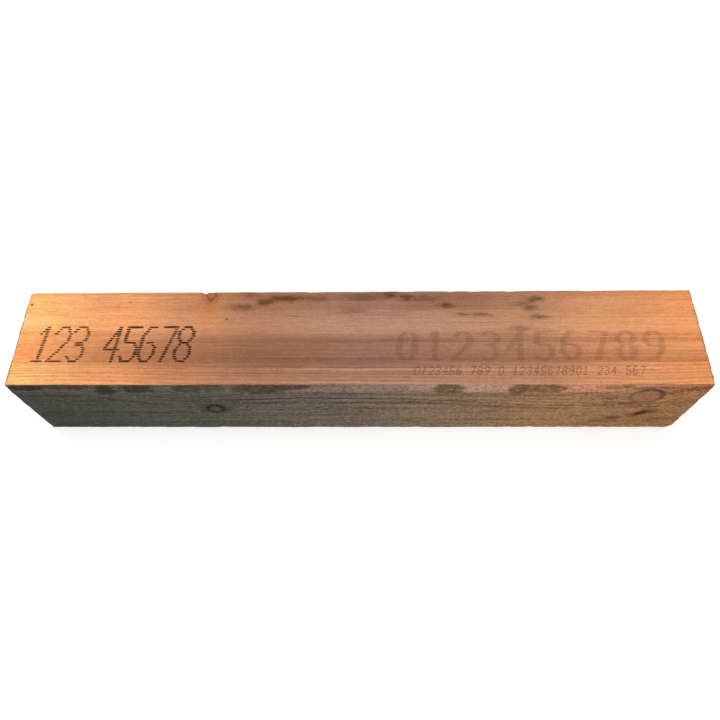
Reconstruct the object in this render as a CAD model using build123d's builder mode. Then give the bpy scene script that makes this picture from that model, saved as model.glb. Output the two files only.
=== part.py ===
"""Squared softwood beam: one sawn piece, lying flat along X with its end cuts at -X and +X.

Millimetres, +Z up. The origin is the centre of the underside. The front face looks along -Y.
The four long arrises are eased by the planer. The front top one is waney: there the saw just
met the outside of the log, and left a shallow slope that narrows along the beam's length.
"""
import os

from build123d import *

# Stock
length = 600.0
width = 95.0
height = 95.0
arris_radius = 0.8

# Wane on the front top arris: a flat slope, measured where it meets each end cut
wane_depth_left = 1.4
wane_drop_left = 19.0
wane_drop_right = 14.0

# Branch knot broken out of the back top arris
notch_from_left_end = 161.7
notch_width = 5.6
notch_depth = 2.1
notch_drop = 7.0
notch_foot_radius = 1.0

# Bark pocket in the front face, shaped like a spindle that lies in the face
pocket_from_right_end = 40.7
pocket_above_underside = 35.5
pocket_length = 12.5
pocket_half_width = 1.8
pocket_angle = 44.0

# Corners knocked off in handling. The signs say which corner, and the sizes are the lengths
# lost along X, Y and Z.
back_left_top_chip = ((-1, 1, 1), (5.5, 2.0, 3.0))
front_left_top_chip = ((-1, -1, 1), (3.0, 1.6, 3.5))
front_right_top_chip = ((1, -1, 1), (3.6, 1.8, 2.6))
front_right_bottom_chip = ((1, -1, -1), (5.0, 2.4, 5.5))

left_end = -length / 2
right_end = length / 2
front = -width / 2
back = width / 2


def cut_outside(face_point, second_point, third_point):
    """Cut away what lies beyond the plane through three points, seen from the beam's middle."""
    middle = Vector(0, 0, height / 2)
    origin, second, third = Vector(face_point), Vector(second_point), Vector(third_point)
    normal = (second - origin).cross(third - origin)
    if normal.dot(origin - middle) < 0:
        normal = -normal
    split(bisect_by=Plane(origin=origin, z_dir=normal), keep=Keep.BOTTOM)


def chip_corner(corner_signs, lost):
    """Break one corner off by the plane through a point on each of its three edges."""
    side_x, side_y, side_z = corner_signs
    lost_x, lost_y, lost_z = lost
    corner_x = side_x * length / 2
    corner_y = side_y * width / 2
    corner_z = height if side_z > 0 else 0
    cut_outside(
        (corner_x - side_x * lost_x, corner_y, corner_z),
        (corner_x, corner_y - side_y * lost_y, corner_z),
        (corner_x, corner_y, corner_z - side_z * lost_z),
    )


with BuildPart() as timber_beam:
    # Sawn stock
    with BuildSketch(Plane.YZ.offset(left_end)):
        with Locations((0, height / 2)):
            Rectangle(width, height)
    extrude(amount=length)

    # Wane, then the eased arrises. The obtuse edge at the foot of the wane stays as it is.
    cut_outside(
        (left_end, front, height - wane_drop_left),
        (left_end, front + wane_depth_left, height),
        (right_end, front, height - wane_drop_right),
    )
    long_edges = timber_beam.edges().filter_by(lambda edge: edge.length > length / 2)
    wane_foot = long_edges.group_by(Axis.Y)[0].sort_by(Axis.Z)[-1]
    fillet(long_edges - [wane_foot], arris_radius)

    # Broken-out knot: a cone standing in the back top arris, wide end up
    notch_radius = (notch_width**2 / 4 + notch_depth**2) / (2 * notch_depth)
    with Locations((left_end + notch_from_left_end, back + notch_radius - notch_depth, height)):
        Cone(
            bottom_radius=notch_foot_radius,
            top_radius=notch_radius,
            height=notch_drop,
            align=(Align.CENTER, Align.CENTER, Align.MAX),
            mode=Mode.SUBTRACT,
        )

    # Bark pocket: half a lens turned about the line that joins its tips
    pocket_plane = Plane(
        origin=(right_end - pocket_from_right_end, front, pocket_above_underside),
        x_dir=(1, 0, 0),
        z_dir=(0, -1, 0),
    ).rotated((0, 0, pocket_angle))
    with BuildSketch(pocket_plane):
        with BuildLine():
            tip_to_tip = Line((-pocket_length / 2, 0), (pocket_length / 2, 0))
            Spline(tip_to_tip @ 0, (0, pocket_half_width), tip_to_tip @ 1)
        make_face()
    revolve(axis=Axis(pocket_plane.origin, pocket_plane.x_dir), mode=Mode.SUBTRACT)

    # Knocked corners
    for corner_signs, lost in (
        back_left_top_chip,
        front_left_top_chip,
        front_right_top_chip,
        front_right_bottom_chip,
    ):
        chip_corner(corner_signs, lost)

timber_beam.part.label = "timber_beam"

os.makedirs("parts", exist_ok=True)
export_step(timber_beam.part, "parts/timber_beam.step")
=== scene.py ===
"""Looks of the squared softwood beam: relief, grain, knots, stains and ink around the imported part.

Relief and paint are worked out in millimetres, with the frame's axes: x along the grain, y from
front to back, z up. Meshes are scaled to metres as they are made.
"""
import math
from dataclasses import dataclass

import bpy
import numpy as np
from mathutils import Matrix, Vector
from mathutils.bvhtree import BVHTree


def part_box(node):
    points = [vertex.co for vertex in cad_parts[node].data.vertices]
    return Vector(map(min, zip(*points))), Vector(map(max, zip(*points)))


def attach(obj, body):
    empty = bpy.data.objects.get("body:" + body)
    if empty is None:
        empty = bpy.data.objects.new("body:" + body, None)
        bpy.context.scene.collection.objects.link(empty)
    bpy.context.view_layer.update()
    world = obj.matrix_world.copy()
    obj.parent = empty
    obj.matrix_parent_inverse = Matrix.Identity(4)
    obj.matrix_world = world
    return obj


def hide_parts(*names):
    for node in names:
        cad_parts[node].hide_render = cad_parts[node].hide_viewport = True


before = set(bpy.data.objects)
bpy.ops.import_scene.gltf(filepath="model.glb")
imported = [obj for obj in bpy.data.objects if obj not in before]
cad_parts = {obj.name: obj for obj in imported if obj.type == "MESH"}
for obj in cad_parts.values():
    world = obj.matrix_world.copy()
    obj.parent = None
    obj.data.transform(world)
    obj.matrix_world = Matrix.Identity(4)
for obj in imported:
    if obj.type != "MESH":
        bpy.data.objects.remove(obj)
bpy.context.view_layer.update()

MM = 0.001
NODE = "timber_beam"
BODY = "root"

# Overall sizes, from the frame
low, high = (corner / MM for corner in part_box(NODE))
LEFT, RIGHT = low.x, high.x
FRONT, BACK = low.y, high.y
TOP = high.z

# Forms that the solid has too
WANE_DEPTH_LEFT = 1.4
WANE_DROP_LEFT = 19.0
WANE_DROP_RIGHT = 14.0
NOTCH_X = LEFT + 161.7
NOTCH_WIDTH = 5.6
NOTCH_DEPTH = 2.1
NOTCH_DROP = 7.0
NOTCH_FOOT_RADIUS = 1.0
POCKET_X = RIGHT - 40.7
POCKET_Z = 35.5
POCKET_LENGTH = 12.5
POCKET_HALF_WIDTH = 1.8
POCKET_ANGLE = math.radians(44)
CHIPS = [
    ((-1, 1, 1), (5.5, 2.0, 3.0)),
    ((-1, -1, 1), (3.0, 1.6, 3.5)),
    ((1, -1, 1), (3.6, 1.8, 2.6)),
    ((1, -1, -1), (5.0, 2.4, 5.5)),
]

# Knots: centre on their face and half sizes, in mm
SMALL_KNOT = (-129.3, 45.8, 8.2, 8.6)
LARGE_KNOT = (251.2, 72.0, 13.8, 13.0)
ARRIS_KNOT = (-133.0, 46.5, 4.6, 7.4)

# Small dents in the back top arris: x, half length and depth
ARRIS_DENTS = [
    (-41.0, 5.0, 1.0),
    (84.5, 3.0, 1.1),
    (102.0, 6.0, 0.9),
    (138.0, 6.5, 1.1),
    (209.0, 7.0, 0.8),
]

# Sizes of the rings in an end cut, as shares of its outline, and how far its middle lies in
END_RING_SHARES = [
    0.985, 0.955, 0.91, 0.85, 0.78, 0.7, 0.61, 0.52, 0.43, 0.34, 0.25, 0.16, 0.07,
]
TIP_INSET = 0.2


# Relief

def lattice(column, row, seed):
    """Give every whole-number place a repeatable value from -1 to 1."""
    mixed = (column * 374761393 + row * 668265263 + seed * 974634777) & 0xFFFFFFFF
    mixed = ((mixed ^ (mixed >> 13)) * 1274126177) & 0xFFFFFFFF
    mixed = mixed ^ (mixed >> 16)
    return (mixed & 0xFFFF) / 32767.5 - 1


def noise(u, v, seed):
    """Smooth value noise from -1 to 1, with features about one unit across."""
    u, v = np.broadcast_arrays(np.asarray(u, float), np.asarray(v, float))
    column, row = np.floor(u).astype(np.int64), np.floor(v).astype(np.int64)
    fu, fv = u - column, v - row
    fu, fv = fu * fu * (3 - 2 * fu), fv * fv * (3 - 2 * fv)
    near = lattice(column, row, seed) * (1 - fu) + lattice(column + 1, row, seed) * fu
    far = lattice(column, row + 1, seed) * (1 - fu) + lattice(column + 1, row + 1, seed) * fu
    return near * (1 - fv) + far * fv


def spread(start, end, step, fine_spots=()):
    """Places from start to end: close together at both ends and around the fine spots."""
    end_steps = [0, 0.4, 0.8, 1.3, 2.0, 3.0]
    places = [start + s for s in end_steps]
    while places[-1] < end - end_steps[-1] - step:
        here = places[-1]
        gap = min([step] + [fine for spot, reach, fine in fine_spots if abs(here - spot) < reach])
        places.append(here + gap)
    return np.array(places + [end - s for s in reversed(end_steps)])


def section_points():
    """Sharp outline of the section, once round: bottom, front, top and back."""
    fine_z = [(POCKET_Z, 7, 0.75)]
    front_z = spread(0, TOP, 1.3, fine_z)
    top_y = spread(FRONT, BACK, 1.3)
    plain_y = spread(FRONT, BACK, 1.9)
    plain_z = spread(0, TOP, 1.9)
    runs = [
        [(y, 0, 0, -1) for y in plain_y[:0:-1]],
        [(FRONT, z, -1, 0) for z in front_z[:-1]],
        [(y, TOP, 0, 1) for y in top_y[:-1]],
        [(BACK, z, 1, 0) for z in plain_z[:0:-1]],
    ]
    points = np.array([point for run in runs for point in run], float)
    return points.T


def stay_inside(points, through, normal):
    """Move the points that lie beyond a plane straight back onto it."""
    normal = np.array(normal, float)
    normal /= np.linalg.norm(normal)
    beyond = np.maximum((points - np.array(through, float)) @ normal, 0)
    points -= beyond[..., None] * normal


def cut_wane(points):
    """Slope the front top arris, less and less towards the right end."""
    lower_left = np.array([LEFT, FRONT, TOP - WANE_DROP_LEFT])
    upper_left = np.array([LEFT, FRONT + WANE_DEPTH_LEFT, TOP])
    lower_right = np.array([RIGHT, FRONT, TOP - WANE_DROP_RIGHT])
    normal = np.cross(upper_left - lower_left, lower_right - lower_left)
    if normal[1] > 0:
        normal = -normal
    stay_inside(points, lower_left, normal)


def chip_corners(points):
    """Break the knocked corners off."""
    for (sx, sy, sz), (lx, ly, lz) in CHIPS:
        corner = np.array([sx * RIGHT, sy * BACK, TOP if sz > 0 else 0])
        first = corner - np.array([sx * lx, 0, 0])
        stay_inside(points, first, (sx / lx, sy / ly, sz / lz))


def arris_radius(x, index, sy, sz):
    """Radius of one arris at each place: it wanders, and grows where the arris is dented."""
    wander = noise(x / 11, index * 7.3, 11 + index)
    wander = wander + 0.7 * noise(x / 3.1, index * 3.7, 31 + index)
    wander = np.clip(wander, -1, 1.6)
    if (sy, sz) == (-1, -1):
        return 1.3 + 0.9 * wander
    radius = 0.9 + 0.45 * wander
    if (sy, sz) == (1, 1):
        for centre, half_length, depth in ARRIS_DENTS:
            radius = radius + depth * np.exp(-(((x - centre) / half_length) ** 4))
    return radius


def round_arrises(points, x):
    """Ease the four long arrises."""
    for index, (sy, sz) in enumerate([(1, -1), (-1, -1), (-1, 1), (1, 1)]):
        radius = arris_radius(x, index, sy, sz)
        edge_y = sy * BACK
        if (sy, sz) == (-1, 1):
            along = (x - LEFT) / (RIGHT - LEFT)
            right_depth = WANE_DEPTH_LEFT * WANE_DROP_RIGHT / WANE_DROP_LEFT
            edge_y = FRONT + WANE_DEPTH_LEFT + along * (right_depth - WANE_DEPTH_LEFT)
        edge_z = TOP if sz > 0 else 0
        centre_y, centre_z = edge_y - sy * radius, edge_z - sz * radius
        dy, dz = points[..., 1] - centre_y, points[..., 2] - centre_z
        distance = np.maximum(np.hypot(dy, dz), 1e-6)
        in_corner = (dy * sy > 0) & (dz * sz > 0) & (distance > radius)
        shrink = np.where(in_corner, radius / distance, 1)
        points[..., 1] = centre_y + dy * shrink
        points[..., 2] = centre_z + dz * shrink


def open_notch(points):
    """Press the broken-out knot into the back top arris, as a cone that stands wide end up."""
    mouth = (NOTCH_WIDTH**2 / 4 + NOTCH_DEPTH**2) / (2 * NOTCH_DEPTH)
    centre_y = BACK + mouth - NOTCH_DEPTH
    drop = (TOP - points[..., 2]) / NOTCH_DROP
    radius = np.where(drop < 1, mouth + (NOTCH_FOOT_RADIUS - mouth) * drop, 0)
    dx, dy = points[..., 0] - NOTCH_X, points[..., 1] - centre_y
    inside = (dx * dx + dy * dy < radius * radius) & (dy < 0)
    reach = np.sqrt(np.maximum(radius * radius - dx * dx, 0))
    points[..., 1] = np.where(inside, centre_y - reach, points[..., 1])


def pocket_place(x, z):
    """Place in the front face from the bark pocket's middle, along it and across it."""
    dx, dz = x - POCKET_X, z - POCKET_Z
    along = dx * math.cos(POCKET_ANGLE) + dz * math.sin(POCKET_ANGLE)
    across = dz * math.cos(POCKET_ANGLE) - dx * math.sin(POCKET_ANGLE)
    return along, across


def pocket_depth(x, z):
    """Depth of the bark pocket in the front face: a spindle that lies in the face."""
    along, across = pocket_place(x, z)
    radius = POCKET_HALF_WIDTH * np.maximum(1 - (2 * along / POCKET_LENGTH) ** 2, 0)
    return np.sqrt(np.maximum(radius * radius - across * across, 0))


def knot_distance(u, v, knot):
    """Distance from a knot's centre, in units of its own half size."""
    centre_u, centre_v, half_u, half_v = knot
    return np.hypot((u - centre_u) / half_u, (v - centre_v) / half_v)


def knot_relief(distance):
    """A knot stands a little proud, inside a fine ring where it has shrunk away."""
    ring = np.exp(-(((distance - 1) / 0.13) ** 2))
    dome = np.clip(1 - distance, 0, 1) ** 0.5
    return 0.3 * ring - 0.15 * dome


def surface_depth(x, around, y, z, ny, nz):
    """How far the finished surface lies below the plain face, in mm."""
    ridges = noise(x / 70, around / 2.6, 3) + 0.6 * noise(x / 24, around / 1.3, 4)
    hollows = noise(x / 40, around / 14, 5)
    weathered = np.where(ny < 0, 1.9, np.where(nz > 0, 0.8, 1.2))
    depth = weathered * (0.055 * (ridges + 1.6) + 0.06 * (hollows + 1))
    on_front = ny < 0
    depth += np.where(on_front, pocket_depth(x, z), 0)
    for knot in (SMALL_KNOT, LARGE_KNOT):
        depth += np.where(on_front, knot_relief(knot_distance(x, z, knot)), 0)
    depth += np.where(nz > 0, knot_relief(knot_distance(x, y, ARRIS_KNOT)), 0)
    return np.maximum(depth, 0)


def side_grid():
    """Rings of points along the beam, one ring at each place along x."""
    y, z, ny, nz = section_points()
    knot_places = [(NOTCH_X, 6, 0.7), (POCKET_X, 7, 0.8)]
    stations = spread(LEFT, RIGHT, 2.4, knot_places)
    x = np.repeat(stations[:, None], len(y), 1)
    points = np.stack([x, np.broadcast_to(y, x.shape), np.broadcast_to(z, x.shape)], -1).copy()
    around = np.concatenate([[0], np.cumsum(np.hypot(np.diff(y), np.diff(z)))])
    depth = surface_depth(x, around, y, z, ny, nz)
    # The relief fades out over the last millimetre before an arris, which has its own wear.
    to_arris = np.where(nz != 0, np.minimum(y - FRONT, BACK - y), np.minimum(z, TOP - z))
    depth = depth * np.clip(to_arris, 0, 1)
    points[..., 1] -= depth * ny
    points[..., 2] -= depth * nz
    cut_wane(points)
    round_arrises(points, x)
    open_notch(points)
    chip_corners(points)
    wear_ends(points, stations)
    return points


def roughen_end(points, sign, seed):
    """Leave the end cut slightly uneven, with the arcs of a circular saw."""
    y, z = points[..., 1], points[..., 2]
    arc = np.hypot(y + 160, z + 90)
    saw = 0.05 * np.sin(arc / 1.9) + 0.07 * noise(y / 9, z / 9, seed)
    tear = 0.22 * np.maximum(noise(y / 2.7, z / 2.7, seed + 1), 0)
    points[..., 0] -= sign * (0.14 + saw + tear)


def wear_ends(points, stations):
    """Let the outline of each end cut wander inwards, less and less away from the end."""
    y, z = points[..., 1], points[..., 2]
    for sign, seed in ((-1, 81), (1, 85)):
        wander = noise(y / 5.0, z / 5.0, seed) + 0.6 * noise(y / 2.1, z / 2.1, seed + 1)
        wear = 0.5 * np.clip(wander + 0.3, 0, 1.4)
        reach = np.clip(1 - (RIGHT - sign * stations) / 3.0, 0, 1)
        points[..., 0] -= sign * reach[:, None] * wear


def end_rings(outline, sign, seed):
    """Rings that shrink from the outline of an end cut towards its middle."""
    end_x, middle = sign * RIGHT, np.array([0, TOP / 2])
    rings = []
    for share in END_RING_SHARES:
        ring = outline.copy()
        ring[:, 1:] = middle + (outline[:, 1:] - middle) * share
        # The outline's own wear along x is gone a short way in
        ring[:, 0] = end_x + (outline[:, 0] - end_x) * max(1 - (1 - share) * 12, 0)
        roughen_end(ring, sign, seed)
        rings.append(ring)
    return rings


def beam_mesh():
    """The whole beam as one closed mesh: the long sides, and rings round a tip at each end."""
    sides = side_grid()
    left_rings = end_rings(sides[0], -1, 71)
    right_rings = end_rings(sides[-1], 1, 75)
    columns = left_rings[::-1] + list(sides) + right_rings
    left_tip = np.array([[LEFT + TIP_INSET, 0, TOP / 2]])
    right_tip = np.array([[RIGHT - TIP_INSET, 0, TOP / 2]])
    points = np.concatenate([left_tip] + columns + [right_tip])

    count = sides.shape[1]
    here = np.arange(count)
    following = (here + 1) % count
    faces = []
    for ring in range(len(columns) - 1):
        a, b = 1 + ring * count, 1 + (ring + 1) * count
        faces += np.stack([here + a, following + a, following + b, here + b], 1).tolist()
    last = 1 + (len(columns) - 1) * count
    faces += [(0, 1 + int(following[i]), 1 + i) for i in range(count)]
    faces += [(len(points) - 1, last + i, last + int(following[i])) for i in range(count)]
    return new_mesh("beam_surface", points, faces)


def splinter(start, direction, length, width, lift):
    """A torn fibre: a slender three-sided spike that leaves the surface at its tip."""
    start, direction, lift = Vector(start), Vector(direction).normalized(), Vector(lift)
    side = direction.cross(lift).normalized() * width / 2
    foot = [start - side, start + side, start + lift.normalized() * width * 0.6]
    tip = start + direction * length + lift
    points = foot + [tip]
    return [tuple(point) for point in points], [(0, 1, 2), (0, 3, 1), (1, 3, 2), (2, 3, 0)]


def torn_fibres():
    """Fine splinters along the rough arrises, as one mesh."""
    rng = np.random.default_rng(5)
    points, faces = [], []
    # Place of the arris in the section, the way its fibres lift, and how many there are
    arrises = [
        (FRONT + 0.66, 0.45, (0, -1, -0.1), 110),
        (FRONT + WANE_DEPTH_LEFT, TOP - 0.6, (0, -1, 0.3), 40),
        (BACK - 0.5, TOP - 0.45, (0, 0.6, 0.5), 60),
        (BACK - 0.66, 0.45, (0, 1, 0), 40),
    ]
    for y, z, outward, count in arrises:
        for _ in range(count):
            x = rng.uniform(LEFT + 6, RIGHT - 12)
            length = rng.uniform(2.5, 8)
            way = rng.choice([-1, 1])
            lift = Vector(outward).normalized() * rng.uniform(0.1, 0.65)
            width = rng.uniform(0.25, 0.5)
            new_points, new_faces = splinter((x, y, z), (way, 0, 0), length, width, lift)
            base = len(points)
            points += new_points
            faces += [tuple(base + i for i in face) for face in new_faces]
    return new_mesh("torn_fibres", points, faces)


def new_mesh(name, points, faces):
    """A mesh from points in mm, and faces that name their points by number."""
    mesh = bpy.data.meshes.new(name)
    mesh.from_pydata((np.array(points) * MM).tolist(), [], faces)
    mesh.validate()
    return mesh


def new_object(name, data):
    """Put a mesh, lamp or camera in the scene under a name."""
    added = bpy.data.objects.new(name, data)
    bpy.context.scene.collection.objects.link(added)
    return added


def make_piece(name, mesh, material):
    """Put a mesh in the scene with its finish, riding on the beam's body."""
    piece = new_object(name, mesh)
    mesh.materials.append(material)
    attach(piece, BODY)
    return piece


# Paint

def linear(red, green, blue):
    """A colour as seen on screen, from 0 to 255, in the linear values that shaders take."""
    def channel(value):
        value = value / 255
        return value / 12.92 if value <= 0.04045 else ((value + 0.055) / 1.055) ** 2.4
    return (channel(red), channel(green), channel(blue), 1)


class Field:
    """A number that varies over the surface. Arithmetic on fields adds nodes to the material."""

    def __init__(self, paint, socket):
        self.paint = paint
        self.socket = socket

    def __add__(self, other):
        return self.paint.math("ADD", self, other)

    def __sub__(self, other):
        return self.paint.math("SUBTRACT", self, other)

    def __mul__(self, other):
        return self.paint.math("MULTIPLY", self, other)

    def __truediv__(self, other):
        return self.paint.math("DIVIDE", self, other)

    def __rsub__(self, other):
        return self.paint.math("SUBTRACT", other, self)

    __radd__ = __add__
    __rmul__ = __mul__


class Paint:
    """Adds nodes to one material. Its methods take and give fields, sockets or plain values."""

    def __init__(self, name):
        self.material = bpy.data.materials.new(name)
        self.material.use_nodes = True
        self.nodes = self.material.node_tree.nodes
        self.links = self.material.node_tree.links
        self.shader = self.nodes["Principled BSDF"]
        coordinates = self.nodes.new("ShaderNodeTexCoord")
        self.place = self.mapped(coordinates.outputs["Object"], (1 / MM, 1 / MM, 1 / MM))
        self.x, self.y, self.z = self.split(self.place)
        self.normal_x, self.normal_y, self.normal_z = self.split(coordinates.outputs["Normal"])

    def feed(self, socket, value):
        """Link a field or a socket to an input, or write a plain value on it."""
        if isinstance(value, Field):
            self.links.new(value.socket, socket)
        elif isinstance(value, bpy.types.NodeSocket):
            self.links.new(value, socket)
        elif socket.type == "VECTOR":
            socket.default_value = value[:3]
        else:
            socket.default_value = value

    def split(self, vector):
        """The three parts of a vector, as fields."""
        node = self.nodes.new("ShaderNodeSeparateXYZ")
        self.feed(node.inputs[0], vector)
        return [Field(self, output) for output in node.outputs]

    def join(self, x, y, z):
        """A vector from its three parts."""
        node = self.nodes.new("ShaderNodeCombineXYZ")
        for socket, value in zip(node.inputs, (x, y, z)):
            self.feed(socket, value)
        return node.outputs[0]

    def mapped(self, place, scale, offset=(0, 0, 0)):
        """A place times a scale, then moved by an offset."""
        node = self.nodes.new("ShaderNodeMapping")
        self.links.new(place, node.inputs["Vector"])
        node.inputs["Scale"].default_value = scale
        node.inputs["Location"].default_value = offset
        return node.outputs[0]

    def math(self, operation, *values):
        """The result of a named operation on fields or numbers."""
        node = self.nodes.new("ShaderNodeMath")
        node.operation = operation
        for socket, value in zip(node.inputs, values):
            self.feed(socket, value)
        return Field(self, node.outputs[0])

    def smooth(self, value, start, end):
        """0 before start and 1 after end, with an easy slope between. Start may be the larger."""
        node = self.nodes.new("ShaderNodeMapRange")
        node.interpolation_type = "SMOOTHSTEP"
        self.feed(node.inputs["Value"], value)
        self.feed(node.inputs["From Min"], start)
        self.feed(node.inputs["From Max"], end)
        return Field(self, node.outputs["Result"])

    def noise(self, stretch, seed=0, detail=2.0, roughness=0.5, place=None):
        """Noise round 0, mostly within -1 and 1. Stretch is the size of its features in mm."""
        offset = (17.3 * seed, 5.9 * seed, 11.1 * seed)
        place = self.mapped(place or self.place, [1 / size for size in stretch], offset)
        texture = self.nodes.new("ShaderNodeTexNoise")
        self.links.new(place, texture.inputs["Vector"])
        texture.inputs["Scale"].default_value = 1
        texture.inputs["Detail"].default_value = detail
        texture.inputs["Roughness"].default_value = roughness
        return (Field(self, texture.outputs["Fac"]) - 0.5) * 4

    def colour_mix(self, factor, first, second, blend="MIX"):
        """The first colour at factor 0 and the second, or the two blended, at factor 1."""
        node = self.nodes.new("ShaderNodeMix")
        node.data_type = "RGBA"
        node.blend_type = blend
        node.clamp_factor = blend == "MIX"
        self.feed(node.inputs[0], factor)
        self.feed(node.inputs[6], first)
        self.feed(node.inputs[7], second)
        return node.outputs[2]

    def ramp(self, along, stops, interpolation):
        """A ramp over a field, through the colours at their own places along it."""
        first, last = stops[0][0], stops[-1][0]
        node = self.nodes.new("ShaderNodeValToRGB")
        node.color_ramp.interpolation = interpolation
        elements = node.color_ramp.elements
        while len(elements) < len(stops):
            elements.new(0.5)
        for element, (place, colour) in zip(elements, stops):
            element.position = (place - first) / (last - first)
            element.color = colour
        self.feed(node.inputs[0], (along - first) / (last - first))
        return node.outputs

    def tones(self, along, stops):
        """A colour that drifts with a field, through a few tones at their places."""
        stops = [(place, linear(*tone)) for place, tone in stops]
        return self.ramp(along, stops, "EASE")["Color"]

    def path(self, along, points):
        """A line across a face as a field: its height at each place along the beam."""
        stops = [(place, (0, 0, 0, height / TOP)) for place, height in points]
        return Field(self, self.ramp(along, stops, "CARDINAL")["Alpha"]) * TOP

    def level(self, along, left, middle, right):
        """A strength that changes evenly from the left end over the middle to the right end."""
        stops = [(LEFT, (0, 0, 0, left)), (0, (0, 0, 0, middle)), (RIGHT, (0, 0, 0, right))]
        return Field(self, self.ramp(along, stops, "LINEAR")["Alpha"])

    def darken(self, colour, amount, tint=(1, 1, 1)):
        """Take a share of the colour away, with its own weight for red, green and blue."""
        rest = [1 - weight for weight in tint] + [1]
        return self.colour_mix(amount, colour, rest, "MULTIPLY")

    def shade(self, colour, gain):
        """Make a colour lighter or darker by a field round 1."""
        return self.darken(colour, 1 - gain)

    def distance(self, u, v, place):
        """Distance from a centre, in units of the half sizes."""
        centre_u, centre_v, half_u, half_v = place
        du, dv = (u - centre_u) / half_u, (v - centre_v) / half_v
        return self.math("SQRT", du * du + dv * dv)

    def between(self, value, start, end, soft):
        """1 from start to end and 0 elsewhere, with edges as wide as soft."""
        rise = self.smooth(value, start - soft / 2, start + soft / 2)
        return rise * self.smooth(value, end + soft / 2, end - soft / 2)

    def band(self, value, centre, half_width, soft):
        """1 close to a centre and 0 away from it."""
        away = self.math("ABSOLUTE", value - centre)
        return self.smooth(away, half_width + soft, half_width)


# Growth rings: place of the pith in the section, and width of a ring
PITH_Y = 36.0
PITH_Z = 38.0
RING_WIDTH = 2.7

# Lengthwise bands on the top face, by their distance from the back arris: start, end, softness,
# and darkening at the left end, in the middle and at the right end
TOP_BANDS = [
    (0.6, 2.6, 1.2, 0.30, 0.26, 0.24),
    (2.4, 9.5, 2.5, 0.00, 0.40, 0.08),
    (9.5, 13, 2, 0.00, 0.28, 0.00),
    (13, 19.5, 2.5, 0.00, 0.34, 0.00),
    (19.5, 27.5, 3, 0.04, 0.10, 0.06),
    (27.5, 28.6, 1, 0.02, 0.16, 0.20),
    (36, 40, 2, 0.10, 0.00, 0.02),
    (40, 44, 2, 0.22, 0.00, 0.00),
    (44, 48.8, 2, 0.24, 0.24, 0.22),
    (48.8, 53, 1, 0.28, 0.46, 0.28),
    (53, 60.5, 2.2, 0.34, 0.34, 0.10),
    (60.5, 67.5, 2.5, 0.38, 0.38, 0.28),
    (67.5, 73, 1.6, 0.30, 0.50, 0.38),
    (73, 78, 2, 0.10, 0.38, 0.02),
    (81, 84.5, 1.4, 0.08, 0.24, 0.12),
    (84.5, 90, 1.6, 0.00, 0.14, 0.10),
]

# Old bark dust and mildew near the back arris: centre x and y, half sizes, strength
TOP_SMEARS = [
    (-103.7, 31.2, 9, 2.6, 0.6),
    (-96.6, 43.5, 11, 1.9, 0.5),
    (-82.8, 36.5, 7, 2.9, 1),
    (-63.4, 40.1, 15, 3, 0.95),
    (-57.9, 21.5, 4.6, 0.9, 0.4),
    (-36.1, 40, 10, 2.6, 0.55),
    (5, 40.8, 15, 3.6, 0.6),
    (92, 38, 30, 8, 0.26),
    (-140, -22, 100, 16, 0.2),
    (-3.4, 26.5, 9.5, 1.6, 0.45),
    (18, 44, 12, 2, 0.5),
    (30.9, 43.9, 5.5, 2.9, 1),
    (43.9, 40.6, 6, 3, 0.95),
    (61.6, 38.9, 14, 3, 0.6),
    (80, 32.5, 5, 2.6, 1),
    (95, 22.9, 6.4, 1.5, 0.6),
    (110.5, 22.3, 7, 1.9, 0.6),
    (160.1, 38.4, 4.9, 2.4, 1),
    (148.9, 33.7, 8, 2, 0.55),
    (154.4, 28.9, 5.6, 2.6, 0.6),
    (161, 20, 7.2, 2.2, 0.65),
    (144.3, 8.3, 7.2, 2.6, 0.45),
]

# Small round dots on the top face, in the same terms
TOP_DOTS = [
    (-116.2, 18.5, 1.9, 1.3, 0.8),
    (-206.7, 36.9, 1.5, 1.1, 0.5),
    (-296, 34.7, 2, 1.5, 0.8),
]

# Remains of bark on the wane: centre x and z, half sizes, strength
BARK_REMAINS = [
    (-284, 90, 16, 5, 0.7),
    (-250, 91.5, 24, 5, 0.45),
    (-216.8, 86.5, 8.5, 9.5, 1),
    (-188.9, 88, 15, 7.5, 0.8),
    (-146, 88, 14, 7, 0.6),
    (-124, 89.5, 11, 5.5, 0.55),
    (-82.9, 88, 26, 8.5, 0.7),
    (-55, 90.5, 18, 5, 0.8),
    (78.9, 87, 14.5, 10, 0.7),
    (138.9, 86.5, 10, 10, 0.8),
    (160.9, 87.5, 20, 8, 0.65),
    (215.7, 89.5, 8.5, 3.5, 0.5),
    (229, 91, 4, 3, 0.6),
]

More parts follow.
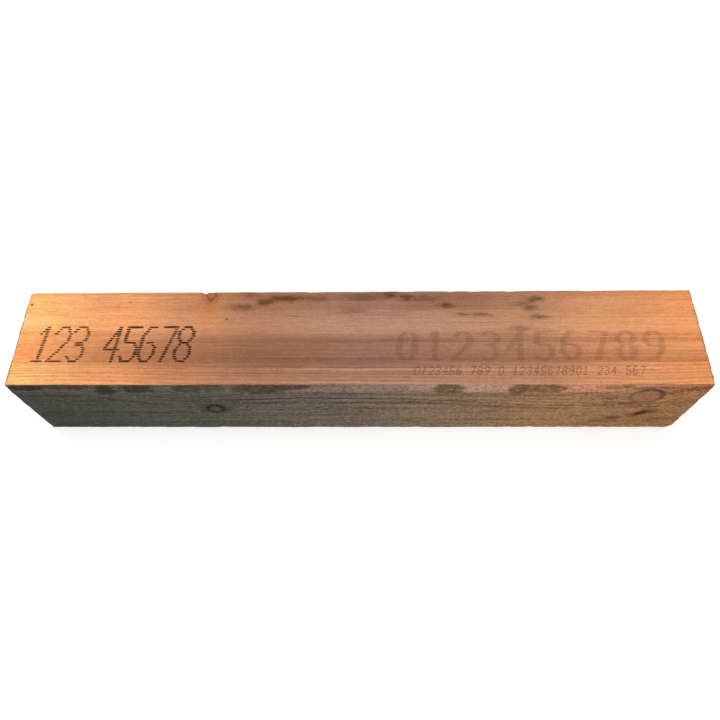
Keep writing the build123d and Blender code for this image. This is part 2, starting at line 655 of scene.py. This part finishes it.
# Dark lines of grain on the front face: strength, half width, softness, and the points that
# the line runs through
FRONT_LINES = [
    (0.55, 0.6, 1.8, [(-300, 74), (-255, 74), (-220, 69), (-190, 59), (-172, 54)]),
    (0.4, 0.7, 1.8, [(-200, 79), (-169, 71), (-140, 70), (-112, 76), (-60, 80), (60, 76), (190, 74)]),
    (0.4, 0.6, 1.8, [(-165, 63), (-140, 60), (-120, 63), (-90, 67), (-40, 69.5), (0, 69)]),
    (0.3, 0.5, 1.6, [(-190, 70), (-160, 64), (-140, 64), (-115, 69), (-90, 73), (-40, 75), (10, 75)]),
    (
        0.45, 0.5, 1.5,
        [(-155, 66), (-110, 66.5), (-40, 69), (20, 68.4), (65, 64.8), (141, 55.4), (230, 51)],
    ),
    (0.45, 1.4, 2, [(-120, 57.5), (-60, 60), (0, 59.4), (60, 58), (120, 51), (200, 46)]),
    (0.25, 0.4, 1.4, [(60, 74), (120, 70), (180, 66), (225, 59), (252, 55.5), (300, 61)]),
    (0.2, 0.4, 1.4, [(100, 66), (160, 61), (215, 55), (255, 50), (300, 55)]),
    (0.3, 0.5, 1.6, [(170, 80), (215, 79), (238, 87), (262, 90), (280, 86), (300, 83)]),
    (0.45, 2, 4, [(258, 78), (272, 80), (285, 86), (300, 91)]),
    (0.35, 0.5, 1.4, [(222, 76), (230, 62), (250, 54), (272, 59), (284, 70), (300, 75)]),
    (0.3, 0.4, 1.2, [(205, 73), (218, 68), (236, 53), (254, 48.5), (276, 53), (300, 68)]),
]

# Pale tan lines of the same kind
PALE_LINES = [
    (0.6, 0.5, 2, [(-300, 83), (-265, 84.5), (-245, 82.5), (-222, 78)]),
    (0.5, 1.6, 2.5, [(262, 60), (280, 70), (300, 77)]),
    (0.35, 0.9, 2, [(110, 92.5), (160, 91.5), (200, 93), (240, 94), (300, 93)]),
    (0.25, 0.6, 2, [(-90, 71), (-60, 72.5), (0, 73), (60, 71), (120, 66), (200, 62)]),
    (0.3, 0.5, 1.6, [(-48, 95), (-42, 91), (-30, 84), (-10, 81), (30, 80), (90, 79)]),
]

# Stained spots on the front face: centre x and z, half sizes, strength
FRONT_STAINS = [
    (52.8, 15.1, 7, 2.2, 0.6),
    (279.5, 22, 7, 4.5, 0.6),
    (122.9, 23.7, 1.6, 1.6, 0.6),
    (266, 39, 11, 6.5, 0.7),
    (251, 31, 8, 5, 0.6),
    (238, 24, 9.5, 5.5, 0.9),
    (226, 16.5, 10, 4.5, 0.7),
    (212, 10, 10, 4, 0.5),
    (221, 70, 11, 6, 0.4),
    (240, 57, 14, 4, 0.35),
    (208, 90.5, 9, 2, 0.25),
    (252, 88.5, 26, 2.2, 0.35),
    (-296, 49, 3, 2, 0.6),
]

# Tones along the beam: place along x, and the colour as seen on screen. Their drift along x holds
# painted light: the top face is painted bright and warm at both ends with painted shade in the
# middle, and the front face and its wane, with the bark and flecks on them, carry painted shade
# that deepens towards the left end over the weathered grey-green and brown of the wood. The wane
# is painted lighter than the face below it, partly as painted light where it tilts up.
TOP_TONES_WITH_PAINTED_LIGHT = [
    (-300, (255, 196, 120)),
    (-215, (248, 168, 110)),
    (-150, (212, 146, 101)),
    (-90, (184, 131, 98)),
    (20, (180, 135, 111)),
    (150, (193, 139, 104)),
    (215, (222, 154, 107)),
    (300, (244, 161, 100)),
]
FRONT_TONES_WITH_PAINTED_SHADE = [
    (-300, (52, 58, 47)),
    (-150, (78, 78, 68)),
    (-30, (104, 95, 82)),
    (80, (134, 111, 87)),
    (180, (156, 119, 80)),
    (300, (150, 109, 64)),
]
WANE_TONES_WITH_PAINTED_LIGHT = [
    (-300, (72, 71, 60)),
    (-150, (90, 84, 72)),
    (-30, (126, 110, 97)),
    (30, (142, 120, 104)),
    (90, (184, 146, 124)),
    (190, (200, 142, 107)),
    (230, (194, 134, 96)),
    (300, (158, 98, 58)),
]
BARK_TONES = [
    (-300, (30, 26, 17)),
    (-60, (66, 56, 42)),
    (60, (98, 78, 46)),
    (300, (112, 78, 44)),
]
FLECK_TONES = [(-300, (110, 84, 64)), (0, (160, 124, 96)), (300, (216, 142, 92))]
PLAIN_TONES = [(-300, (232, 168, 112)), (0, (212, 154, 110)), (300, (226, 160, 108))]


class Grain:
    """Patterns of the wood that all faces share, as fields."""

    def __init__(self, paint):
        radius = ring_field(paint)
        phase = paint.math("FRACT", radius / RING_WIDTH)
        self.late = paint.smooth(phase, 0.3, 0.85) * paint.smooth(phase, 1.0, 0.85)
        self.dark_lines = paint.smooth(paint.noise((240, 1.3, 1.3), seed=13), 0.35, 0.95)
        self.pale_lines = paint.smooth(paint.noise((200, 1.2, 1.2), seed=14), 0.35, 0.95)
        self.streaks = paint.noise((60, 1.7, 1.7), seed=3, detail=3, roughness=0.6)
        self.fibres = paint.noise((12, 1.0, 1.0), seed=4)
        self.speckle = paint.noise((1.6, 1.3, 1.3), seed=5, detail=1)
        self.clouds = paint.noise((70, 14, 14), seed=6)


def pith_distance(paint):
    """Distance from the pith, the heart of the rings, which lies inside the beam."""
    dy, dz = paint.y - PITH_Y, paint.z - PITH_Z
    return paint.math("SQRT", dy * dy + dz * dz)


def ring_field(paint):
    """Distance from the pith through the wavy growth layers, pushed aside by the knots."""
    wander = 2.4 * paint.noise((320, 60, 60), seed=1, detail=1)
    wander = wander + 0.6 * paint.noise((90, 22, 22), seed=2)
    radius = pith_distance(paint) + wander
    radius = radius + paint.math("SINE", radius * 0.35) * 0.7
    radius = radius + paint.math("SINE", radius * 0.83) * 0.25
    on_front = paint.smooth(paint.y, FRONT + 40, FRONT)
    for knot, push in ((SMALL_KNOT, 4.2), (LARGE_KNOT, 5.5)):
        reach = (knot[0], knot[1], knot[2] * 2.6, knot[3] * 1.5)
        away = paint.distance(paint.x, paint.z, reach)
        radius = radius - paint.math("EXPONENT", 0 - away * away) * push * on_front
    return radius


def blots(paint, u, v, places, start, end, ragged=1.0):
    """Ragged blots round their places. Start is where one begins, in units of its half sizes."""
    ragged_u = u + 7.0 * ragged * paint.noise((10, 2.6, 2.6), seed=21, detail=5, roughness=0.8)
    ragged_v = v + 2.6 * ragged * paint.noise((8, 2.4, 2.4), seed=22, detail=5, roughness=0.8)
    total = 0
    for *place, strength in places:
        blot = paint.smooth(paint.distance(ragged_u, ragged_v, place), start, end) * strength
        total = paint.math("MAXIMUM", total, blot)
    return total


def planed_wood(paint, grain):
    """The bare top face: painted light makes it bright and warm at both ends and painted shade mauve
    in the middle, with lengthwise bands.
    """
    x, y = paint.x, paint.y
    gain = 1 + grain.streaks * 0.11 + grain.fibres * 0.15 + grain.speckle * 0.15
    gain = gain + grain.pale_lines * 0.2 - grain.dark_lines * 0.22
    near_arris = paint.smooth(y, FRONT + 24, FRONT + 14)
    taken = grain.late * (0.08 + near_arris * 0.2) - gain
    # The top tones carry painted light: bright and warm at both ends, painted shade in the middle
    top = paint.darken(paint.tones(x, TOP_TONES_WITH_PAINTED_LIGHT), 1 + taken, (0.7, 1.0, 1.4))
    top = paint.darken(top, grain.clouds * 0.1, (0.2, 0.5, 0.9))

    from_back = BACK - y + 0.7 * paint.noise((160, 400, 400), seed=7, detail=1)
    from_back = from_back + 0.4 * paint.noise((26, 5, 5), seed=16)
    bands = 0
    for start, end, soft, left, middle, right in TOP_BANDS:
        band = paint.between(from_back, start, end, soft)
        bands = band * paint.level(x, left, middle, right) + bands
    # Red stays full by the left end, where the painted light is brightest
    by_end = paint.smooth(x, LEFT + 85, LEFT + 10)
    top = paint.darken(top, bands * (1 - by_end), (0.85, 1.0, 1.08))
    return paint.darken(top, bands * by_end, (0.1, 0.95, 1.08))


def paint_top(paint, grain):
    """The planed face with its knot, stains, and a painted highlight with glare spots by the left end.
    """
    x, y = paint.x, paint.y
    top = planed_wood(paint, grain)

    # Painted highlight by the left end: a pale yellow pool of light, and small pinkish glare spots
    painted_highlight_patch = paint.smooth(paint.distance(x, y, (-290, 18.5, 30, 8)) + grain.clouds * 0.3, 1.1, 0.5)
    top = paint.colour_mix(painted_highlight_patch * 0.4, top, linear(255, 208, 130))
    painted_glare_spots = paint.smooth(paint.distance(x, y, (-295, 17, 4.5, 9)) - grain.speckle * 0.8, 0.7, 0.2)
    top = paint.colour_mix(painted_glare_spots * 0.5, top, linear(244, 206, 196))

    # Knot in the back arris, with a resin-stained tail
    torn = 0.3 * paint.noise((4, 2.5, 2.5), seed=12, detail=3, roughness=0.65)
    tail = paint.smooth(paint.distance(x, y, (-134, 33, 13, 20)) + torn, 1.2, 0.0)
    tail = tail * (0.55 + torn + grain.speckle * 0.15)
    top = paint.colour_mix(tail, top, linear(200, 116, 56))
    knot = paint.distance(x, y, ARRIS_KNOT) + torn
    top = paint.colour_mix(paint.smooth(knot, 1.5, 0.7) * 0.6, top, linear(150, 104, 76))
    rings = paint.band(knot, 1.0, 0.08, 0.3) * 0.65 + paint.band(knot, 1.6, 0.05, 0.25) * 0.3
    top = paint.colour_mix(rings, top, linear(104, 66, 40))

    mottle = paint.noise((4.5, 1.8, 1.8), seed=30, detail=3, roughness=0.7)
    smears = blots(paint, x, y, TOP_SMEARS, 2.1, 0.2)
    smears = smears * (1.1 + mottle * 0.5 + grain.streaks * 0.4)
    dots = blots(paint, x, y, TOP_DOTS, 1.2, 0.4, ragged=0.08)
    smears = paint.math("MAXIMUM", smears, dots)
    return paint.colour_mix(smears, top, linear(98, 63, 30))


def grain_lines(paint, lines, grain):
    """Lines that wave along the front face, broken up by the fibres."""
    wavy = paint.z + 0.8 * paint.noise((30, 12, 12), seed=17)
    total = 0
    for strength, half_width, soft, points in lines:
        start, end = points[0][0], points[-1][0]
        reach = paint.smooth(paint.x, start - 6, start + 18)
        reach = reach * paint.smooth(paint.x, end + 6, end - 18)
        line = paint.band(wavy, paint.path(paint.x, points), half_width, soft)
        total = line * reach * strength + total
    return total * (1 + grain.fibres * 0.5)


def paint_front(paint, grain):
    """The weathered face, darker than the top by painted shade as well as weathering: grey-green in
    deeper painted shade at the left, brown at the right, bark stains on the wane.
    """
    x, z = paint.x, paint.z
    on_wane = paint.smooth(z + grain.clouds * 1.5, TOP - 17, TOP - 10)
    # Front and wane tones: weathered wood colour with painted shade that deepens towards the left end;
    # the wane is partly lifted by painted light
    front = paint.colour_mix(on_wane, paint.tones(x, FRONT_TONES_WITH_PAINTED_SHADE), paint.tones(x, WANE_TONES_WITH_PAINTED_LIGHT))

    grit = paint.noise((2.6, 2.3, 2.3), seed=18, roughness=0.7)
    dashes = paint.noise((11, 2.4, 2.8), seed=19, roughness=0.6)
    layers = paint.noise((170, 2.3, 2.3), seed=29, detail=1)
    gain = 1.06 + grain.streaks * 0.17 + dashes * 0.22 + grit * 0.62 + layers * 0.25
    gain = gain + grain.pale_lines * 0.3 - grain.dark_lines * 0.3
    taken = grain.late * 0.16 - grain.clouds * 0.06 - gain
    front = paint.darken(front, 1 + taken, (0.92, 1.0, 1.12))

    front = paint.darken(front, grain_lines(paint, FRONT_LINES, grain), (0.8, 1.0, 1.0))
    tan = paint.tones(x, FLECK_TONES)
    front = paint.colour_mix(grain_lines(paint, PALE_LINES, grain), front, tan)

    flecks = paint.noise((4.0, 3.0, 3.2), seed=15, roughness=0.65)
    flecks = paint.smooth(flecks, 0.3, 0.8)
    front = paint.colour_mix(flecks * 0.8, front, tan)

    gnawed = paint.noise((5, 3, 5), seed=28, detail=3, roughness=0.7)
    bark = blots(paint, x + gnawed * 2.5, z + gnawed * 2.5, BARK_REMAINS, 1.1, 0.8)
    bark = bark * (1.2 + gnawed * 0.7 + grit * 0.6)
    front = paint.colour_mix(bark, front, paint.tones(x, BARK_TONES))
    stains = blots(paint, x, z, FRONT_STAINS, 1.4, 0.3)
    front = paint.colour_mix(stains, front, linear(96, 60, 36))
    return paint_front_knots(paint, grain, front)


def paint_front_knots(paint, grain, front):
    """The two round knots in the front face, and the bark pocket under the larger one."""
    x, z = paint.x, paint.z
    ragged = 0.16 * paint.noise((3.5, 3, 3), seed=12, detail=3, roughness=0.65)
    blotched = 1 + paint.noise((3, 3, 3), seed=25) * 0.3

    small = paint.distance(x, z, SMALL_KNOT) + ragged
    wide_x, wide_z = SMALL_KNOT[2] * 1.9, SMALL_KNOT[3] * 1.2
    halo = paint.distance(x, z, (*SMALL_KNOT[:2], wide_x, wide_z)) + ragged * 2
    front = paint.colour_mix(paint.smooth(halo, 1.3, 0.5) * 0.8, front, linear(54, 44, 29))
    front = paint.colour_mix(paint.smooth(small, 0.8, 0.5) * 0.8, front, linear(84, 84, 70))
    ring = paint.band(small + ragged * 0.5, 0.86, 0.09, 0.34) * blotched * 0.95
    core = paint.band(small, 0.34, 0.02, 0.18) * blotched * 0.4
    front = paint.colour_mix(ring + core, front, linear(16, 16, 9))

    large = paint.distance(x, z, LARGE_KNOT) + ragged * 0.5
    inside = paint.smooth(large, 1.0, 0.85)
    growth = paint.math("FRACT", (large + ragged * 0.6) * 3.4)
    growth = paint.smooth(growth, 0.5, 0.9) * paint.smooth(growth, 1.0, 0.9)
    mottled = paint.shade(linear(164, 110, 70), blotched + grain.speckle * 0.3 - growth * 0.4)
    front = paint.colour_mix(inside * 0.6, front, mottled)
    upper = paint.smooth(x * 0.55 + z, 200, 226)
    rim = paint.band(large, 1.0, 0.05, 0.2) * blotched
    front = paint.colour_mix(rim * (0.35 + upper * 0.55), front, linear(72, 46, 32))
    olive = paint.smooth(paint.distance(x, z, (278.5, 67, 6, 8)) + ragged, 1.2, 0.7)
    front = paint.colour_mix(olive * 0.35, front, linear(126, 100, 66))

    along, across = pocket_place(x, z)
    pocket = paint.distance(along, across, (0, 0, POCKET_LENGTH / 2, POCKET_HALF_WIDTH * 2))
    resin = paint.smooth(pocket * 0.45 + ragged * 1.5, 1.2, 0.3)
    front = paint.colour_mix(resin * 0.65, front, linear(104, 60, 38))
    return paint.colour_mix(paint.smooth(pocket + ragged, 1.25, 0.6), front, linear(46, 26, 19))


def paint_end(paint, grain):
    """An end cut: growth rings, saw marks, and fine rays and drying cracks towards the pith."""
    angle = paint.math("ARCTAN2", paint.z - PITH_Z, paint.y - PITH_Y)
    turned = paint.join(angle, pith_distance(paint), paint.x / 200)
    rays = paint.noise((0.025, 30, 1), seed=26, place=turned)
    cracks = paint.smooth(paint.noise((0.06, 40, 1), seed=27, detail=1, place=turned), 0.95, 1.25)
    arc = paint.distance(paint.y, paint.z, (-160, -90, 1, 1)) + grain.clouds
    saw = paint.math("SINE", arc * 1.4)
    gain = 1 - grain.late * 0.32 + rays * 0.07 + saw * 0.03 + grain.speckle * 0.1
    taken = 1 - gain - grain.clouds * 0.08
    end = paint.darken(linear(236, 182, 128), taken, (0.7, 1.0, 1.25))
    return paint.colour_mix(cracks * 0.55, end, linear(96, 66, 44))


def finish_paint(paint, colour, roughness, height):
    """Set the shader's colour, roughness and fine bumps, and give the material."""
    paint.feed(paint.shader.inputs["Base Color"], colour)
    paint.feed(paint.shader.inputs["Roughness"], roughness)
    paint.shader.inputs["Specular IOR Level"].default_value = 0.18
    bump = paint.nodes.new("ShaderNodeBump")
    bump.inputs["Strength"].default_value = 0.6
    bump.inputs["Distance"].default_value = 0.35 * MM
    paint.feed(bump.inputs["Height"], height)
    paint.links.new(bump.outputs[0], paint.shader.inputs["Normal"])
    return paint.material


def wood_material():
    """Weathered planed softwood, each face with its own paint."""
    paint = Paint("weathered_softwood")
    grain = Grain(paint)
    on_top = paint.smooth(paint.normal_z, 0.45, 0.75)
    on_front = paint.smooth(paint.normal_y, -0.5, -0.8)
    on_end = paint.smooth(paint.math("ABSOLUTE", paint.normal_x), 0.6, 0.85)

    gain = 1 - grain.late * 0.16 + grain.streaks * 0.1 + grain.fibres * 0.1 + grain.clouds * 0.06
    gain = gain + grain.pale_lines * 0.15 - grain.dark_lines * 0.18
    plain = paint.darken(paint.tones(paint.x, PLAIN_TONES), 1 - gain, (0.8, 1.0, 1.3))

    colour = paint.colour_mix(on_top, plain, paint_top(paint, grain))
    colour = paint.colour_mix(on_front, colour, paint_front(paint, grain))
    colour = paint.colour_mix(on_end, colour, paint_end(paint, grain))
    # The long faces darken within about 2 mm of each end
    to_end = RIGHT - paint.math("ABSOLUTE", paint.x) + grain.speckle * 0.5
    darker_end_edges = paint.smooth(to_end, 1.7, 0.5) * (1 - on_end)
    colour = paint.colour_mix(darker_end_edges * 0.6, colour, linear(86, 72, 56))
    relief = grain.streaks * 0.3 + grain.fibres * 0.2 + grain.speckle * 0.12 - grain.late * 0.4
    return finish_paint(paint, colour, 0.72 + grain.streaks * 0.05 + on_front * 0.1, relief)


def fibre_material():
    """Pale torn wood."""
    paint = Paint("torn_fibre_wood")
    streaks = paint.noise((20, 1.5, 1.5), seed=3)
    colour = paint.shade(linear(150, 116, 84), 1 + streaks * 0.2)
    return finish_paint(paint, colour, 0.8, streaks)


def ink_material(name, ink, share):
    """The planed wood of the top face under a stain of ink."""
    paint = Paint(name)
    grain = Grain(paint)
    colour = paint.colour_mix(share, planed_wood(paint, grain), linear(*ink))
    return finish_paint(paint, colour, 0.75, grain.fibres * 0.2)


# Ink

# A dash of ink: corners of its outline, and how far its rim sinks and its face stands proud
INK_SIDES = 8
INK_SUNK = 0.08
INK_PROUD = 0.04

# Strokes of plain digits, in a box one unit wide and one high
DIGITS = {
    "0": [
        [(0.3, 0), (0.7, 0), (1, 0.2), (1, 0.8), (0.7, 1), (0.3, 1), (0, 0.8), (0, 0.2), (0.3, 0)],
    ],
    "1": [[(0.2, 0.8), (0.55, 1), (0.55, 0)], [(0.2, 0), (0.9, 0)]],
    "2": [[(0, 0.8), (0.3, 1), (0.7, 1), (1, 0.8), (1, 0.6), (0, 0), (1, 0)]],
    "3": [
        [(0, 0.85), (0.3, 1), (0.7, 1), (1, 0.85), (1, 0.65), (0.7, 0.5), (0.35, 0.5)],
        [(0.7, 0.5), (1, 0.35), (1, 0.15), (0.7, 0), (0.3, 0), (0, 0.15)],
    ],
    "4": [[(0.75, 0), (0.75, 1), (0, 0.35), (1, 0.35)]],
    "5": [
        [(1, 1), (0.1, 1), (0.05, 0.55), (0.7, 0.55)],
        [(0.7, 0.55), (1, 0.4), (1, 0.15), (0.7, 0), (0.2, 0), (0, 0.15)],
    ],
    "6": [
        [(0.85, 1), (0.4, 1), (0, 0.7), (0, 0.2), (0.3, 0), (0.7, 0), (1, 0.2), (1, 0.4), (0.7, 0.55)],
        [(0.7, 0.55), (0.05, 0.5)],
    ],
    "7": [[(0, 1), (1, 1), (0.4, 0)]],
    "8": [
        [(0.3, 0.52), (0, 0.7), (0, 0.85), (0.3, 1), (0.7, 1), (1, 0.85), (1, 0.7), (0.7, 0.52)],
        [(0.3, 0.52), (0.7, 0.52), (1, 0.35), (1, 0.15), (0.7, 0)],
        [(0.7, 0), (0.3, 0), (0, 0.15), (0, 0.35), (0.3, 0.52)],
    ],
    "9": [
        [(0.15, 0), (0.6, 0), (1, 0.3), (1, 0.8), (0.7, 1), (0.3, 1), (0, 0.8), (0, 0.6), (0.3, 0.45)],
        [(0.3, 0.45), (0.95, 0.5)],
    ],
}


def dot_rows(digit, rows):
    """Dashes of one digit on its rows: (start, end, height) in the digit's own box."""
    dashes = []
    for stroke in DIGITS[digit]:
        for (u0, v0), (u1, v1) in zip(stroke, stroke[1:]):
            for row in range(rows):
                height = row / (rows - 1)
                if abs(v1 - v0) * (rows - 1) < 0.6:
                    if abs(height - (v0 + v1) / 2) * (rows - 1) <= 0.5:
                        dashes.append((min(u0, u1), max(u0, u1), height))
                elif min(v0, v1) <= height <= max(v0, v1):
                    u = u0 + (u1 - u0) * (height - v0) / (v1 - v0)
                    dashes.append((u, u, height))
    return sorted(set(dashes))


@dataclass
class Lettering:
    """Sizes of one printed line of digits on the top face, in mm."""

    height: float
    width: float
    pitch: float
    rows: int
    dash: float
    half_width: float
    slant: float = 0.1

    def dashes(self, text, left, base):
        """Places of all dashes of a line of digits: x, y and half length."""
        places = []
        for index, digit in enumerate(text):
            if digit == " ":
                continue
            for start, end, level in dot_rows(digit, self.rows):
                shift = left + index * self.pitch + self.slant * level * self.height
                x0 = shift + start * self.width - self.dash / 2
                x1 = shift + end * self.width + self.dash / 2
                places.append(((x0 + x1) / 2, base + level * self.height, (x1 - x0) / 2))
        return places


def swell(value):
    """Push a sine or cosine outwards, which fills a round shape out towards its box."""
    return math.copysign(abs(value) ** 0.6, value)


def surface_height(surface, x, y):
    """Height of the top face at a place, in mm."""
    above = Vector((x * MM, y * MM, (TOP + 5) * MM))
    return surface.ray_cast(above, Vector((0, 0, -1)))[0].z / MM


def ink_mesh(name, dashes, half_width, surface, seed):
    """Flat lenses of ink, each pressed into the surface under it."""
    rng = np.random.default_rng(seed)
    points, faces = [], []
    for x, y, half_length in dashes:
        x += rng.normal(0, 0.16)
        y += rng.normal(0, 0.10)
        half_length *= rng.uniform(0.85, 1.12)
        half = half_width * rng.uniform(0.8, 1.15)
        if half_length > 3 * half_width:
            half *= 1.2
        base = len(points)
        for share, lift in ((1.0, -INK_SUNK), (0.85, INK_PROUD)):
            for corner in range(INK_SIDES):
                angle = 2 * math.pi * (corner + 0.5) / INK_SIDES
                wobble = share * rng.uniform(0.9, 1.08)
                px = x + swell(math.cos(angle)) * half_length * wobble
                py = y + swell(math.sin(angle)) * half * wobble
                points.append((px, py, surface_height(surface, px, py) + lift))
        lower = list(range(base, base + INK_SIDES))
        upper = list(range(base + INK_SIDES, base + 2 * INK_SIDES))
        faces += [lower[::-1], upper]
        for i in range(INK_SIDES):
            j = (i + 1) % INK_SIDES
            faces.append((lower[i], lower[j], upper[j], upper[i]))
    return new_mesh(name, points, faces)


# Stage

# Viewpoint of the photograph: place in mm, turns in degrees, and focal length in pixels
CAMERA_PLACE = (14.37, -275.85, 581.67)
CAMERA_YAW = -2.527
CAMERA_PITCH = 62.518
CAMERA_ROLL = -2.385
FOCAL_PIXELS = 638.09
IMAGE_PIXELS = 720

# Light: strength of the sky, glow of the floor where it is seen, half the floor's side in mm,
# and the lamp in metres and watts
SKY_LIGHT = 0.64
FLOOR_LIFT = 0.3
FLOOR_HALF = 4000
LAMP_PLACE = (-0.25, -0.35, 1.7)
LAMP_TARGET = (0, 0, 0.05)
LAMP_SIZE = 1.6
LAMP_WATTS = 14.3


def place_camera():
    """Look down on the beam from the photograph's own viewpoint."""
    yaw = math.radians(CAMERA_YAW)
    pitch = math.radians(CAMERA_PITCH)
    roll = math.radians(CAMERA_ROLL)
    level_forward = Vector((math.sin(yaw), math.cos(yaw), 0))
    forward = level_forward * math.cos(pitch) - Vector((0, 0, math.sin(pitch)))
    level_right = Vector((math.cos(yaw), -math.sin(yaw), 0))
    level_up = level_right.cross(forward)
    right = math.cos(roll) * level_right + math.sin(roll) * level_up
    up = math.cos(roll) * level_up - math.sin(roll) * level_right
    data = bpy.data.cameras.new("camera")
    data.sensor_width = 36
    data.lens = FOCAL_PIXELS / IMAGE_PIXELS * data.sensor_width
    data.clip_start = 0.01
    camera = new_object("camera", data)
    turn = Matrix((right, up, -forward)).transposed().to_4x4()
    camera.matrix_world = Matrix.Translation(Vector(CAMERA_PLACE) * MM) @ turn
    bpy.context.scene.camera = camera


def seen_or(nodes, links, otherwise, when_seen):
    """A value for what the camera or a reflection sees, and another for light on the object."""
    path = nodes.new("ShaderNodeLightPath")
    seen = path.outputs["Is Camera Ray"]
    for kind in ("Is Glossy Ray", "Is Transmission Ray"):
        either = nodes.new("ShaderNodeMath")
        either.operation = "MAXIMUM"
        links.new(seen, either.inputs[0])
        links.new(path.outputs[kind], either.inputs[1])
        seen = either.outputs[0]
    value = nodes.new("ShaderNodeMapRange")
    value.inputs["To Min"].default_value = otherwise
    value.inputs["To Max"].default_value = when_seen
    links.new(seen, value.inputs["Value"])
    return value.outputs["Result"]


def floor_paint():
    """Pale grey to the lamps, and lifted to white where the camera or a reflection sees it."""
    material = bpy.data.materials.new("pale_floor")
    material.use_nodes = True
    nodes, links = material.node_tree.nodes, material.node_tree.links
    shader = nodes["Principled BSDF"]
    shader.inputs["Base Color"].default_value = (0.9, 0.9, 0.9, 1)
    shader.inputs["Roughness"].default_value = 0.9
    shader.inputs["Specular IOR Level"].default_value = 0.1
    shader.inputs["Emission Color"].default_value = (1, 1, 1, 1)
    links.new(seen_or(nodes, links, 0, FLOOR_LIFT), shader.inputs["Emission Strength"])
    return material


def make_stage():
    """A pale floor, an even pale sky and one large soft lamp above and in front."""
    world = bpy.data.worlds.new("studio")
    bpy.context.scene.world = world
    world.use_nodes = True
    nodes, links = world.node_tree.nodes, world.node_tree.links
    nodes["Background"].inputs["Color"].default_value = (1, 1, 1, 1)
    strength = seen_or(nodes, links, SKY_LIGHT, 1.0)
    links.new(strength, nodes["Background"].inputs["Strength"])

    lamp_data = bpy.data.lights.new("soft_lamp", "AREA")
    lamp_data.shape = "SQUARE"
    lamp_data.size = LAMP_SIZE
    lamp_data.energy = LAMP_WATTS
    lamp = new_object("soft_lamp", lamp_data)
    lamp.location = LAMP_PLACE
    aim = Vector(LAMP_TARGET) - Vector(LAMP_PLACE)
    lamp.rotation_euler = aim.to_track_quat("-Z", "Y").to_euler()

    corners = [(x * FLOOR_HALF, y * FLOOR_HALF, 0) for x, y in ((-1, -1), (1, -1), (1, 1), (-1, 1))]
    floor = new_object("floor", new_mesh("floor", corners, [(0, 1, 2, 3)]))
    floor.data.materials.append(floor_paint())


def make_beam():
    """The beam's detailed surface, in place of its plain solid."""
    beam = make_piece("beam", beam_mesh(), wood_material())
    for polygon in beam.data.polygons:
        polygon.use_smooth = True
    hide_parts(NODE)
    return beam


def print_line(name, lettering, text, left, base, surface, seed, ink):
    """One line of digits on the top face, as a piece of its own."""
    dashes = lettering.dashes(text, left, base)
    make_piece(name, ink_mesh(name, dashes, lettering.half_width, surface, seed), ink)


def make_ink(beam):
    """Plain dot-matrix digits at the left, and two faint worn lines of digits at the right."""
    bpy.context.view_layer.update()
    surface = BVHTree.FromObject(beam, bpy.context.evaluated_depsgraph_get())

    dark = ink_material("dark_ink", (24, 13, 12), 0.95)
    thin = ink_material("thin_ink", (38, 22, 18), 0.88)
    large = Lettering(height=34.2, width=12.8, pitch=15.8, rows=16, dash=4.0, half_width=0.98)
    print_line("first_digits", large, "123", -285.0, -23.4, surface, 20, thin)
    print_line("second_digits", large, "45678", -222.5, -23.6, surface, 21, dark)

    faint = ink_material("faint_ink", (92, 58, 42), 0.3)
    bold = Lettering(height=27.0, width=13.5, pitch=23.6, rows=20, dash=7.4, half_width=0.6)
    print_line("faint_digits", bold, "0123456789", 36.0, -22.5, surface, 22, faint)

    pale = ink_material("pale_ink", (92, 54, 36), 0.66)
    small = Lettering(7.4, 3.7, pitch=5.95, rows=9, dash=1.2, half_width=0.46, slant=0.25)
    line = "0123456 789 0 12345678901 234 567"
    print_line("small_digits", small, line, 49.0, -37.0, surface, 23, pale)


bpy.context.scene.view_settings.view_transform = "Standard"
place_camera()
make_stage()
beam = make_beam()
make_piece("torn_fibres", torn_fibres(), fibre_material())
make_ink(beam)
